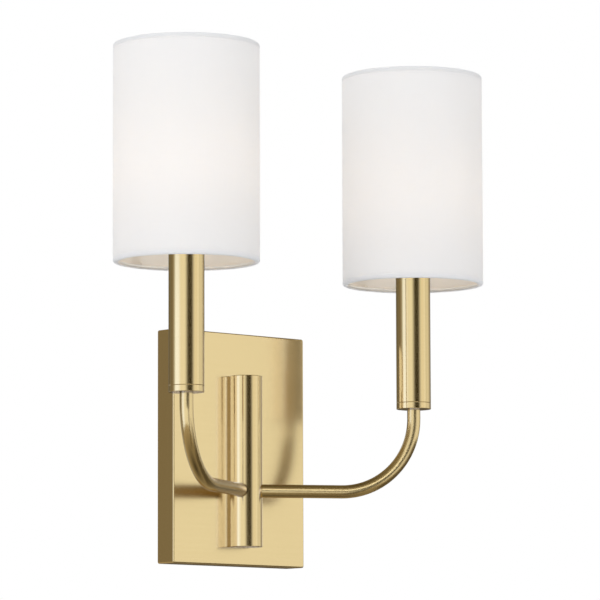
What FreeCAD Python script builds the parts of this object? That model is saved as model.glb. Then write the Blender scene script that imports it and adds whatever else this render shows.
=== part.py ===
import FreeCAD, Part
import math
import os

Vector = FreeCAD.Vector

# A two-light wall sconce. The origin lies on the wall plane at the middle of the backplate:
# +X to the right, +Y into the wall, +Z up. All sizes are in millimetres and degrees.

# Backplate, a shallow pan that is open towards the wall
plate_width = 122.5
plate_height = 166.0
plate_depth = 17.5
plate_wall = 1.2
plate_corner_radius = 1.5
plate_edge_radius = 1.0

# Column, a round tube with its back milled flat where it meets the backplate
column_diameter = 23.6
column_wall = 1.6
column_foot_margin = 12.8
column_top_margin = 31.0
column_stand_off = 7.0
column_edge_radius = 0.4
plug_height = 10.0

# Arms, bent tubes that splay forward from the column and turn up to the candles
arm_diameter = 9.5
arm_wall = 0.9
arm_rise_on_column = 40.1
arm_reach = 123.1
arm_splay = 30.0
arm_bend_radius = 53.3
arm_rise = 6.8
arm_hole_gap = 0.4

# Hub inside the column that holds both arms, with its hollow threaded nipple and nut
hub_height = 22.0
hub_socket_land = 2.0
nipple_wall = 1.4
nipple_engagement = 5.0
nipple_tail = 0.6
hub_nut_across_flats = 13.0
hub_nut_height = 3.5

# Candle: cap, lock nut, sleeve and the leg that carries the lampholder
candle_diameter = 24.8
candle_wall = 1.0
sleeve_length = 114.3
cap_height = 4.45
cap_spigot_height = 4.0
candle_edge_radius = 0.3
cap_nut_across_flats = 14.0
cap_nut_height = 4.0
leg_sleeve_gap = 2.2
leg_width = 8.0
leg_thickness = 1.5
arm_thread_tail = 1.0

# Lampholder
socket_sleeve_gap = 1.6
socket_floor = 9.0
socket_recess = 1.0
socket_shell_wall = 0.8
socket_shell_lip = 2.0
contact_plate_diameter = 9.0
contact_plate_thickness = 0.8
contact_button_diameter = 4.4
contact_button_height = 1.7

# Bulb with a small screw base and a torpedo glass
bulb_base_diameter = 11.9
bulb_base_wall = 0.3
bulb_base_length = 19.0
bulb_collar_gap = 1.0
bulb_insulator_height = 3.5
bulb_insulator_foot_diameter = 6.0
bulb_contact_height = 1.0
bulb_length = 76.0
bulb_diameter = 35.0
bulb_widest_height = 31.0
bulb_neck_overhang = 0.25
bulb_neck_height = 2.3
bulb_tip_radius = 4.0
bulb_belly_radius = 22.0
glass_thickness = 0.8
flare_thickness = 1.5
stem_diameter = 4.0
filament_foot = 20.0
filament_length = 40.0
filament_diameter = 1.4
filament_circle_diameter = 7.0
filament_count = 4
filament_disc_thickness = 0.8
support_rod_diameter = 1.6

# Shade: linen drum on two wire rings, hung from a wire clip that sits on the bulb
shade_diameter = 101.6
shade_height = 152.4
fabric_thickness = 0.6
hem_bend_radius = 1.4
hem_lip = 3.4
ring_wire_diameter = 2.4
fitter_drop = 39.5
fitter_tip_gap = 8.0
fitter_disc_diameter = 20.0
fitter_disc_thickness = 1.5
clip_wire_diameter = 1.6
clip_seat_rise = 15.0
clip_leg_circle_diameter = 16.0
clip_half_spread = 65.0

# Wiring
wire_diameter = 2.0
wire_spacing = 0.2
hub_turn_radius = 8.0
pan_turn_radius = 3.0
neutral_shortfall = 2.5
connector_diameter = 11.6
connector_tip_diameter = 7.0
connector_skirt_length = 9.0
connector_length = 20.0
connector_start = 16.0
connector_grip = 8.0
ground_wire_diameter = 1.6
ground_wire_rise = 14.0
ground_wire_end = 12.0
ground_wire_lean = 6.0
ground_wire_bend_radius = 12.0

# Wall strap and screws
strap_width = 19.0
strap_thickness = 2.0
strap_tab_depth = 12.0
box_screw_spacing = 88.9
box_slot_width = 4.8
box_slot_length = 12.0
plate_screw_depth = 7.0
plate_screw_length = 6.5
screw_diameter = 4.0
screw_head_diameter = 7.0
screw_head_height = 2.4
screw_head_edge_radius = 0.8
screw_slot_width = 0.9
screw_slot_depth = 1.0
plate_screw_key = 2.0
column_screw_engagement = 6.0
ground_screw_height = 16.0
ground_screw_head_diameter = 9.0

# Clearances
fit_clearance = 0.05
thread_clearance = 0.05
running_clearance = 0.08
screw_hole_clearance = 0.25
seat_gap = 0.3
wire_gap = 0.25
wire_way_gap = 0.8
same_place = 0.001

# Heights and depths that follow from the driving dimensions
plate_face = -plate_depth
pan_floor = plate_face + plate_wall
column_axis_y = plate_face - column_stand_off
column_radius = column_diameter / 2
column_bore_radius = column_radius - column_wall
column_foot = column_foot_margin - plate_height / 2
column_top = plate_height / 2 - column_top_margin
arm_height = column_foot + arm_rise_on_column
arm_radius = arm_diameter / 2
splay = math.radians(arm_splay)
arm_seat = (arm_radius * math.sin(splay) + hub_socket_land) / math.cos(splay)
wire_radius = wire_diameter / 2
wire_offset = wire_radius + wire_spacing / 2
wire_way_radius = math.sqrt(2) * wire_offset + wire_radius + wire_way_gap
nipple_radius = wire_way_radius + nipple_wall
nipple_end = pan_floor + hub_nut_height + nipple_tail

cap_foot = arm_height + arm_bend_radius + arm_rise
cap_seam = cap_foot + cap_height
spigot_top = cap_seam + cap_spigot_height
cap_nut_top = spigot_top + cap_nut_height
leg_floor_top = cap_nut_top + leg_thickness
arm_end = leg_floor_top + arm_thread_tail
candle_radius = candle_diameter / 2
sleeve_bore_radius = candle_radius - candle_wall
sleeve_top = cap_seam + sleeve_length

contact_height = contact_plate_thickness + contact_button_height
socket_cup_depth = contact_height + bulb_base_length - bulb_collar_gap
socket_top = sleeve_top - socket_recess
socket_cup_floor = socket_top - socket_cup_depth
socket_foot = socket_cup_floor - socket_floor
bulb_base_radius = bulb_base_diameter / 2
socket_bore_radius = bulb_base_radius + running_clearance
socket_shell_radius = socket_bore_radius + socket_shell_wall
bulb_foot = socket_cup_floor + contact_height
bulb_base_foot = bulb_foot + bulb_contact_height + bulb_insulator_height
bulb_base_top = bulb_foot + bulb_base_length
bulb_tip = bulb_base_top + bulb_length
bulb_neck_radius = bulb_base_radius + bulb_neck_overhang
bulb_widest_radius = bulb_diameter / 2

# The shoulder arc leaves the bulb's widest point upright and runs into the tip's small ball.
tip_rise = bulb_length - bulb_tip_radius - bulb_widest_height
tip_inset = bulb_widest_radius - bulb_tip_radius
shoulder_radius = (bulb_widest_radius ** 2 + tip_rise ** 2 - bulb_tip_radius ** 2) / (2 * tip_inset)

# The belly arc leaves the widest point downwards and meets the hollow curve above the neck.
belly_drop = bulb_widest_height - bulb_neck_height
belly_inset = bulb_neck_radius + bulb_belly_radius - bulb_widest_radius
hollow_span = belly_inset ** 2 + belly_drop ** 2 - bulb_belly_radius ** 2
hollow_radius = hollow_span / (2 * (bulb_belly_radius - belly_inset))

fitter_foot = bulb_tip + fitter_tip_gap
shade_top = fitter_foot + fitter_drop
shade_foot = shade_top - shade_height
shade_radius = shade_diameter / 2
ring_wire_radius = ring_wire_diameter / 2
ring_radius = shade_radius - fabric_thickness - fit_clearance - ring_wire_radius
ring_inset = fabric_thickness + fit_clearance + ring_wire_radius

wire_pair_radius = wire_offset + wire_radius + wire_gap
connector_axis_y = nipple_end + pan_turn_radius + wire_offset
strap_reach = plate_height / 2 - plate_wall - seat_gap
screw_radius = screw_diameter / 2
thread_hole_radius = screw_radius + thread_clearance
screw_hole_radius = screw_radius + screw_hole_clearance

SIDES = {"left": -1, "right": 1}
UP = Vector(0, 0, 1)
INWARD = Vector(0, 1, 0)


# Shape helpers

def rod(start, end, radius):
    """A round bar between two points."""
    run = end - start
    return Part.makeCylinder(radius, run.Length, start, run)


def upright_rod(radius, foot, top):
    """A round bar along Z."""
    return rod(Vector(0, 0, foot), Vector(0, 0, top), radius)


def upright_tube(radius, bore_radius, foot, top):
    """A round tube along Z."""
    return upright_rod(radius, foot, top).cut(upright_rod(bore_radius, foot, top))


def rounded_rod(radius, foot, top, edge_radius):
    """A round bar along Z with both rims rounded."""
    bar = upright_rod(radius, foot, top)
    rims = [edge for edge in bar.Edges if edge.Closed]
    return bar.makeFillet(edge_radius, rims)


def hex_rod(across_flats, foot, top):
    """A six-sided bar along Z."""
    corner_radius = across_flats / math.sqrt(3)
    turns = [math.radians(60 * step) for step in range(7)]
    corners = [Vector(corner_radius * math.cos(a), corner_radius * math.sin(a), foot) for a in turns]
    return Part.Face(Part.makePolygon(corners)).extrude(UP * (top - foot))


def block(low, high):
    """A box between two opposite corners."""
    size = high - low
    return Part.makeBox(size.x, size.y, size.z, low)


def into_wall(shape):
    """Turns a piece made along +Z so that it points along +Y."""
    return shape.rotated(Vector(0, 0, 0), Vector(1, 0, 0), -90)


def rounded_path(corners, radii):
    """Straight runs through the corners, with a tangent arc of the given radius at each turn."""
    edges = []
    start = corners[0]
    for before, corner, after, radius in zip(corners, corners[1:], corners[2:], radii):
        back = (before - corner).normalize()
        ahead = (after - corner).normalize()
        half_turn = (math.pi - back.getAngle(ahead)) / 2
        setback = radius * math.tan(half_turn)
        inward = (back + ahead).normalize()
        first = corner + back * setback
        middle = corner + inward * (radius / math.cos(half_turn) - radius)
        last = corner + ahead * setback
        edges.append(Part.LineSegment(start, first).toShape())
        edges.append(Part.Arc(first, middle, last).toShape())
        start = last
    edges.append(Part.LineSegment(start, corners[-1]).toShape())
    return edges


def swept_rod(corners, radii, radius):
    """A round bar of one section along a path of runs and tangent arcs."""
    section = Part.Wire(Part.makeCircle(radius, corners[0], corners[1] - corners[0]))
    return Part.Wire(rounded_path(corners, radii)).makePipeShell([section], True, False)


def arm_direction(side):
    """Horizontal unit vector from the column's axis towards one candle."""
    return Vector(side * math.cos(splay), -math.sin(splay), 0)


def column_point(height):
    """A point on the column's axis."""
    return Vector(0, column_axis_y, height)


def candle_point(side, height=0):
    """A point on the axis of one candle."""
    return column_point(height) + arm_direction(side) * arm_reach


def at_column(shape):
    return shape.translated(column_point(0))


def at_candle(shape, side):
    return shape.translated(candle_point(side))


def in_front_of_plate(shape):
    """Cuts away what would lie behind the backplate's face."""
    far = column_diameter + plate_depth
    low = Vector(-far, plate_face, column_foot - far)
    high = Vector(far, plate_face + far, column_top + far)
    return shape.cut(block(low, high))


# Backplate and wall strap

def column_screw_heights():
    return [column_foot + plug_height / 2, column_top - plug_height / 2]


def backplate():
    half_width = plate_width / 2
    half_height = plate_height / 2
    pan = block(Vector(-half_width, plate_face, -half_height), Vector(half_width, 0, half_height))
    corners = [e for e in pan.Edges if abs(e.tangentAt(e.FirstParameter).y) > 0.5]
    pan = pan.makeFillet(plate_corner_radius, corners)
    rim = [e for e in pan.Edges if abs(e.CenterOfMass.y - plate_face) < same_place]
    pan = pan.makeFillet(min(plate_edge_radius, plate_wall), rim)
    inside_low = Vector(plate_wall - half_width, pan_floor, plate_wall - half_height)
    inside_high = Vector(half_width - plate_wall, plate_wall, half_height - plate_wall)
    pan = pan.cut(block(inside_low, inside_high))
    through = INWARD * plate_depth
    nipple_hole = Vector(0, plate_face - plate_wall, arm_height)
    pan = pan.cut(rod(nipple_hole, nipple_hole + through, nipple_radius + screw_hole_clearance))
    for height in column_screw_heights():
        start = Vector(0, plate_face - plate_wall, height)
        pan = pan.cut(rod(start, start + through, screw_hole_radius))
    screw_line = Vector(0, -plate_screw_depth, -plate_height)
    return pan.cut(rod(screw_line, screw_line + UP * (2 * plate_height), screw_hole_radius))


def slot_through_strap(height):
    """One upright slot for a wall box screw."""
    radius = box_slot_width / 2
    half_run = box_slot_length / 2 - radius
    through = INWARD * (2 * strap_thickness)
    slot = block(Vector(-radius, 0, -half_run), Vector(radius, through.y, half_run))
    for end in (-half_run, half_run):
        slot = slot.fuse(rod(Vector(0, 0, end), Vector(0, 0, end) + through, radius))
    return slot.translated(Vector(0, -1.5 * strap_thickness, height))


def wall_strap():
    half_width = strap_width / 2
    strap = block(Vector(-half_width, -strap_thickness, -strap_reach), Vector(half_width, 0, strap_reach))
    for low_z in (-strap_reach, strap_reach - strap_thickness):
        low = Vector(-half_width, -strap_tab_depth, low_z)
        high = Vector(half_width, 0, low_z + strap_thickness)
        strap = strap.fuse(block(low, high))
    for height in (-box_screw_spacing / 2, box_screw_spacing / 2):
        strap = strap.cut(slot_through_strap(height))
    ground_hole = Vector(0, -2 * strap_thickness, ground_screw_height)
    strap = strap.cut(rod(ground_hole, ground_hole + INWARD * (3 * strap_thickness), thread_hole_radius))
    screw_line = Vector(0, -plate_screw_depth, -plate_height)
    strap = strap.cut(rod(screw_line, screw_line + UP * (2 * plate_height), thread_hole_radius))
    return strap.removeSplitter()


def plate_screws():
    """Headless screws, flush with the top and bottom of the backplate."""
    screws = []
    top = plate_height / 2 - fit_clearance
    screw = upright_rod(screw_radius, top - plate_screw_length, top)
    screw = screw.cut(hex_rod(plate_screw_key, top - plate_screw_key, top + plate_screw_key))
    for tip_over in (0, 180):
        turned = screw.rotated(Vector(0, 0, 0), INWARD, tip_over)
        screws.append(turned.translated(Vector(0, -plate_screw_depth, 0)))
    return Part.makeCompound(screws)


def slotted_screw(shank_length, head_diameter):
    """A round-head screw along -Z: the head stands on z = 0 and its shank goes down."""
    head = upright_rod(head_diameter / 2, 0, screw_head_height)
    top_rim = [e for e in head.Edges if e.Closed and e.CenterOfMass.z > screw_head_height / 2]
    head = head.makeFillet(screw_head_edge_radius, top_rim)
    slot_low = Vector(-head_diameter, -screw_slot_width / 2, screw_head_height - screw_slot_depth)
    slot_high = Vector(head_diameter, screw_slot_width / 2, 2 * screw_head_height)
    head = head.cut(block(slot_low, slot_high))
    return head.fuse(upright_rod(screw_radius, -shank_length, 0)).removeSplitter()


def column_screws():
    """Screws from inside the pan into the column's two plugs."""
    screw = into_wall(slotted_screw(plate_wall + column_screw_engagement, screw_head_diameter))
    return Part.makeCompound([screw.translated(Vector(0, pan_floor, z)) for z in column_screw_heights()])


def ground_screw():
    """Green screw on the strap; its head faces away from the wall and clamps the ground wire."""
    reach = ground_wire_diameter + 2 * fit_clearance + strap_thickness
    screw = slotted_screw(reach, ground_screw_head_diameter)
    facing_room = screw.rotated(Vector(0, 0, 0), Vector(1, 0, 0), 90)
    return facing_room.translated(Vector(0, -reach, ground_screw_height))


def ground_wire():
    """Bare wire from under the ground screw, up along the strap."""
    beside = screw_radius + ground_wire_diameter / 2 + fit_clearance
    depth = -strap_thickness - ground_wire_diameter / 2 - fit_clearance
    start = Vector(beside, depth, ground_screw_height - ground_screw_head_diameter / 2)
    corner = Vector(beside, depth, ground_screw_height + ground_wire_rise)
    end = corner + Vector(-ground_wire_lean, 0, ground_wire_end)
    return swept_rod([start, corner, end], [ground_wire_bend_radius], ground_wire_diameter / 2)


# Column

def column_tube():
    tube = rounded_rod(column_radius, column_foot, column_top, column_edge_radius)
    tube = at_column(tube.cut(upright_rod(column_bore_radius, column_foot, column_top)))
    tube = in_front_of_plate(tube)
    for side in SIDES.values():
        start = column_point(arm_height)
        tube = tube.cut(rod(start, start + arm_direction(side) * column_diameter, arm_radius + arm_hole_gap))
    return tube


def column_plug(foot, screw_height):
    """Turned plug that closes one end of the column and takes its screw."""
    plug = upright_rod(column_bore_radius - fit_clearance, foot, foot + plug_height)
    plug = in_front_of_plate(at_column(plug))
    mouth = Vector(0, plate_face, screw_height)
    depth = INWARD * (column_screw_engagement + thread_clearance)
    return plug.cut(rod(mouth - depth, mouth, thread_hole_radius))


def arm_hub():
    half = hub_height / 2
    middle = column_point(arm_height)
    hub = upright_rod(column_bore_radius - fit_clearance, arm_height - half, arm_height + half)
    hub = in_front_of_plate(at_column(hub))
    for side in SIDES.values():
        seat = middle + arm_direction(side) * arm_seat
        mouth = middle + arm_direction(side) * column_diameter
        hub = hub.cut(rod(seat, mouth, arm_radius + fit_clearance))
        hub = hub.cut(rod(middle, mouth, wire_way_radius))
    back = Vector(0, plate_face, arm_height)
    hub = hub.cut(Part.makeSphere(wire_way_radius, middle))
    hub = hub.cut(rod(middle, back, wire_way_radius))
    nipple_seat = back - INWARD * nipple_engagement
    return hub.cut(rod(nipple_seat, back, nipple_radius + thread_clearance))


def hub_nipple():
    """Hollow threaded nipple from the hub through the backplate; the wires pass inside it."""
    nipple = upright_tube(nipple_radius, wire_way_radius, plate_face - nipple_engagement, nipple_end)
    return into_wall(nipple).translated(Vector(0, 0, arm_height))


def hub_nut():
    nut = hex_rod(hub_nut_across_flats, pan_floor, pan_floor + hub_nut_height)
    nut = nut.cut(upright_rod(nipple_radius + thread_clearance, plate_face, 0))
    return into_wall(nut).translated(Vector(0, 0, arm_height))


# Arms and candles

def arm(side):
    outward = arm_direction(side)
    corners = [
        column_point(arm_height) + outward * arm_seat,
        candle_point(side, arm_height),
        candle_point(side, arm_end),
    ]
    outside = swept_rod(corners, [arm_bend_radius], arm_radius)
    return outside.cut(swept_rod(corners, [arm_bend_radius], arm_radius - arm_wall))


def candle_cap():
    cap = rounded_rod(candle_radius, cap_foot, cap_seam, candle_edge_radius)
    cap = cap.fuse(upright_rod(sleeve_bore_radius - fit_clearance, cap_foot + cap_height / 2, spigot_top))
    return cap.cut(upright_rod(arm_radius + thread_clearance, cap_foot, spigot_top)).removeSplitter()


def cap_nut():
    nut = hex_rod(cap_nut_across_flats, spigot_top, cap_nut_top)
    return nut.cut(upright_rod(arm_radius + thread_clearance, spigot_top, cap_nut_top))


def candle_sleeve():
    sleeve = rounded_rod(candle_radius, cap_seam, sleeve_top, candle_edge_radius)
    return sleeve.cut(upright_rod(sleeve_bore_radius, cap_seam, sleeve_top))


def socket_leg():
    """Bent strap that screws onto the arm's end and carries the lampholder."""
    half_span = sleeve_bore_radius - leg_sleeve_gap
    half_width = leg_width / 2
    outline = block(Vector(-half_span, -half_width, cap_nut_top), Vector(half_span, half_width, socket_foot))
    inner_low = Vector(leg_thickness - half_span, -leg_width, leg_floor_top)
    inner_high = Vector(half_span - leg_thickness, leg_width, socket_foot)
    leg = outline.cut(block(inner_low, inner_high))
    leg = leg.fuse(upright_rod(half_span, cap_nut_top, leg_floor_top))
    leg = leg.cut(upright_rod(arm_radius + thread_clearance, cap_nut_top, leg_floor_top))
    return leg.removeSplitter()


def socket_body():
    body = upright_rod(sleeve_bore_radius - socket_sleeve_gap, socket_foot, socket_top)
    body = body.cut(upright_rod(socket_shell_radius + fit_clearance, socket_cup_floor, socket_top))
    return body.cut(upright_rod(wire_pair_radius, socket_foot, socket_cup_floor))


def socket_shell():
    shell_top = socket_top - socket_shell_lip
    return upright_tube(socket_shell_radius, socket_bore_radius, socket_cup_floor, shell_top)


def socket_contact():
    plate_top = socket_cup_floor + contact_plate_thickness
    plate = upright_rod(contact_plate_diameter / 2, socket_cup_floor, plate_top)
    return plate.fuse(upright_rod(contact_button_diameter / 2, plate_top, bulb_foot)).removeSplitter()


# Bulbs

def bulb_outline(inset):
    """Edges of the glass outline from its foot to its tip, moved in by the inset."""
    outward = Vector(1, 0, 0)
    tip_centre = UP * (bulb_length - bulb_tip_radius)
    shoulder_centre = Vector(bulb_widest_radius - shoulder_radius, 0, bulb_widest_height)
    belly_centre = Vector(bulb_widest_radius - bulb_belly_radius, 0, bulb_widest_height)
    hollow_centre = Vector(bulb_neck_radius + hollow_radius, 0, bulb_neck_height)
    tip_way = (tip_centre - shoulder_centre).normalize()
    hollow_way = (hollow_centre - belly_centre).normalize()

    def arc(centre, radius, start_way, end_way):
        middle_way = (start_way + end_way).normalize()
        points = [centre + way * radius for way in (start_way, middle_way, end_way)]
        return Part.Arc(*points).toShape()

    foot = Vector(bulb_neck_radius - inset, 0, 0)
    neck_top = foot + UP * bulb_neck_height
    tip = UP * (bulb_length - inset)
    middle = Vector(0, 0, 0)
    return [
        Part.LineSegment(foot, neck_top).toShape(),
        arc(hollow_centre, hollow_radius + inset, -outward, -hollow_way),
        arc(belly_centre, bulb_belly_radius - inset, hollow_way, outward),
        arc(shoulder_centre, shoulder_radius - inset, outward, tip_way),
        arc(tip_centre, bulb_tip_radius - inset, tip_way, UP),
        Part.LineSegment(tip, middle).toShape(),
        Part.LineSegment(middle, foot).toShape(),
    ]


def bulb_form(inset):
    outline = Part.Face(Part.Wire(bulb_outline(inset)))
    return outline.revolve(Vector(0, 0, 0), UP, 360)


def bulb_glass():
    return bulb_form(0).cut(bulb_form(glass_thickness)).translated(UP * bulb_base_top)


def bulb_base():
    return upright_tube(bulb_base_radius, bulb_base_radius - bulb_base_wall, bulb_base_foot, bulb_base_top)


def bulb_insulator():
    foot = UP * (bulb_foot + bulb_contact_height)
    foot_radius = bulb_insulator_foot_diameter / 2
    return Part.makeCone(foot_radius, bulb_base_radius, bulb_insulator_height, foot, UP)


def bulb_contact():
    return upright_rod(contact_button_diameter / 2, bulb_foot, bulb_foot + bulb_contact_height)


def bulb_mount():
    """Glass stem with the rod and the two discs that hold the filaments."""
    foot = bulb_base_top
    disc_radius = (filament_circle_diameter + 2 * filament_diameter) / 2
    lower = foot + filament_foot
    upper = lower + filament_length
    mount = upright_rod(bulb_neck_radius - glass_thickness - fit_clearance, foot, foot + flare_thickness)
    mount = mount.fuse(upright_rod(stem_diameter / 2, foot, lower))
    mount = mount.fuse(upright_rod(support_rod_diameter / 2, foot, upper))
    mount = mount.fuse(upright_rod(disc_radius, lower - filament_disc_thickness, lower))
    mount = mount.fuse(upright_rod(disc_radius, upper, upper + filament_disc_thickness))
    return mount.removeSplitter()


def bulb_filaments():
    lower = bulb_base_top + filament_foot
    stick = upright_rod(filament_diameter / 2, lower, lower + filament_length)
    stick = stick.translated(Vector(filament_circle_diameter / 2, 0, 0))
    turn = 360 / filament_count
    sticks = [stick.rotated(Vector(0, 0, 0), UP, turn * step) for step in range(filament_count)]
    return Part.makeCompound(sticks)


# Shades

def shade_drum():
    """Linen drum whose edges turn in over the two wire rings."""
    outside = rounded_rod(shade_radius, shade_foot, shade_top, hem_bend_radius)
    inside = rounded_rod(
        shade_radius - fabric_thickness,
        shade_foot + fabric_thickness,
        shade_top - fabric_thickness,
        hem_bend_radius - fabric_thickness,
    )
    mouth = upright_rod(shade_radius - hem_lip, shade_foot, shade_top)
    return outside.cut(inside).cut(mouth)


def shade_bottom_ring():
    return Part.makeTorus(ring_radius, ring_wire_radius, UP * (shade_foot + ring_inset))


def shade_frame():
    """Top ring with two spokes down to the disc that carries the bulb clip."""
    ring_height = shade_top - ring_inset
    disc_top = fitter_foot + fitter_disc_thickness
    disc_middle = fitter_foot + fitter_disc_thickness / 2
    frame = Part.makeTorus(ring_radius, ring_wire_radius, UP * ring_height)
    frame = frame.fuse(upright_rod(fitter_disc_diameter / 2, fitter_foot, disc_top))
    for way in (-1, 1):
        inner = Vector(0, way * (fitter_disc_diameter / 2 - ring_wire_radius), disc_middle)
        outer = Vector(0, way * ring_radius, ring_height)
        spoke = rod(inner, outer, ring_wire_radius).fuse(Part.makeSphere(ring_wire_radius, inner))
        frame = frame.fuse(spoke)
    below_disc = upright_rod(fitter_disc_diameter, fitter_foot - ring_wire_diameter, fitter_foot)
    return frame.cut(below_disc).removeSplitter()


def clip_path():
    """Centre, radius and angles of the arc that follows the bulb's shoulder at the seat gap."""
    radius = shoulder_radius + seat_gap + clip_wire_diameter / 2
    centre = Vector(bulb_widest_radius - shoulder_radius, 0, bulb_base_top + bulb_widest_height)
    seat_angle = math.asin(clip_seat_rise / radius)
    leg_angle = math.acos((clip_leg_circle_diameter / 2 - centre.x) / radius)
    return centre, radius, seat_angle, leg_angle


def clip_leg(spread):
    """One leg of a clip loop: up along the bulb's shoulder, then straight up to the disc."""
    wire = clip_wire_diameter / 2
    centre, radius, seat_angle, leg_angle = clip_path()

    def shoulder_point(angle):
        return centre + Vector(math.cos(angle), 0, math.sin(angle)) * radius

    seat = shoulder_point(seat_angle)
    middle = shoulder_point((seat_angle + leg_angle) / 2)
    bend = shoulder_point(leg_angle)
    section = Part.Wire(Part.makeCircle(wire, seat, Vector(-math.sin(seat_angle), 0, math.cos(seat_angle))))
    leg = Part.Wire(Part.Arc(seat, middle, bend).toShape()).makePipeShell([section], True, False)
    leg = leg.fuse(Part.makeSphere(wire, bend))
    leg = leg.fuse(rod(bend, Vector(bend.x, 0, fitter_foot), wire))
    leg = leg.fuse(Part.makeSphere(wire, seat))
    return leg.rotated(Vector(0, 0, 0), UP, spread)


def bulb_clip():
    """Two spring wire loops that sit on the bulb's shoulder, one on each side."""
    centre, radius, seat_angle, _ = clip_path()
    seat_radius = centre.x + radius * math.cos(seat_angle)
    seat_height = centre.z + radius * math.sin(seat_angle)
    loops = []
    for facing in (0, 180):
        wire = Part.makeCircle(clip_wire_diameter / 2, Vector(seat_radius, 0, seat_height), INWARD)
        bow = Part.Face(Part.Wire(wire)).revolve(Vector(0, 0, 0), UP, 2 * clip_half_spread)
        loop = bow.rotated(Vector(0, 0, 0), UP, -clip_half_spread)
        for spread in (-clip_half_spread, clip_half_spread):
            loop = loop.fuse(clip_leg(spread))
        loops.append(loop.removeSplitter().rotated(Vector(0, 0, 0), UP, facing))
    return Part.makeCompound(loops)


# Wiring

def lamp_wire(side, towards, shortfall):
    """One wire from a lampholder down its arm, through the hub and nipple, to a connector in the pan."""
    outward = arm_direction(side)
    lift = towards * wire_offset
    inside_of_turn = side == towards
    pan_radius = pan_turn_radius if inside_of_turn else pan_turn_radius + 2 * wire_offset
    beside_axis = wire_offset / math.cos(splay)
    hub_corner = column_point(arm_height + lift) + outward * beside_axis
    pan_corner = Vector(hub_corner.x, nipple_end + pan_radius, hub_corner.z)
    run_end = towards * (connector_start + connector_grip)
    corners = [
        candle_point(side, socket_cup_floor - shortfall) - outward * lift,
        candle_point(side, arm_height + lift) - outward * lift,
        hub_corner,
        pan_corner,
        Vector(run_end, pan_corner.y, pan_corner.z),
    ]
    return swept_rod(corners, [arm_bend_radius - lift, hub_turn_radius, pan_radius], wire_radius)


def wire_connector(towards):
    """Twist-on cap over the ends of two wires, its mouth facing the nipple."""
    skirt = upright_rod(connector_diameter / 2, 0, connector_skirt_length)
    taper_length = connector_length - connector_skirt_length
    taper_foot = UP * connector_skirt_length
    taper = Part.makeCone(connector_diameter / 2, connector_tip_diameter / 2, taper_length, taper_foot, UP)
    cap = skirt.fuse(taper).removeSplitter()
    cap = cap.cut(upright_rod(wire_pair_radius, 0, connector_grip))
    cap = cap.rotated(Vector(0, 0, 0), INWARD, 90 * towards)
    height = arm_height + towards * wire_offset
    return cap.translated(Vector(towards * connector_start, connector_axis_y, height))


def fixed_pieces():
    low_screw, high_screw = column_screw_heights()
    return {
        "backplate": backplate(),
        "wall_strap": wall_strap(),
        "plate_screws": plate_screws(),
        "ground_screw": ground_screw(),
        "ground_wire": ground_wire(),
        "column_tube": column_tube(),
        "column_top_plug": column_plug(column_top - plug_height, high_screw),
        "column_bottom_plug": column_plug(column_foot, low_screw),
        "column_screws": column_screws(),
        "arm_hub": arm_hub(),
        "hub_nipple": hub_nipple(),
        "hub_nut": hub_nut(),
        "live_connector": wire_connector(1),
        "neutral_connector": wire_connector(-1),
    }


def candle_pieces():
    """Pieces that are the same on both lights, made about the candle's own axis."""
    return {
        "candle_cap": candle_cap(),
        "cap_nut": cap_nut(),
        "candle_sleeve": candle_sleeve(),
        "socket_leg": socket_leg(),
        "socket_body": socket_body(),
        "socket_shell": socket_shell(),
        "socket_contact": socket_contact(),
        "bulb_glass": bulb_glass(),
        "bulb_base": bulb_base(),
        "bulb_insulator": bulb_insulator(),
        "bulb_contact": bulb_contact(),
        "bulb_mount": bulb_mount(),
        "bulb_filaments": bulb_filaments(),
        "shade_drum": shade_drum(),
        "shade_frame": shade_frame(),
        "shade_bottom_ring": shade_bottom_ring(),
        "bulb_clip": bulb_clip(),
    }


def all_pieces():
    pieces = fixed_pieces()
    candle = candle_pieces()
    for name, side in SIDES.items():
        pieces[name + "_arm"] = arm(side)
        pieces[name + "_live_wire"] = lamp_wire(side, 1, 0)
        pieces[name + "_neutral_wire"] = lamp_wire(side, -1, neutral_shortfall)
        for piece, shape in candle.items():
            pieces[name + "_" + piece] = at_candle(shape, side)
    return pieces


os.makedirs("parts", exist_ok=True)
for node, solid in all_pieces().items():
    solid.exportStep("parts/" + node + ".step")
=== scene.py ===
import math

import bpy
from mathutils import Matrix, Vector


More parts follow.
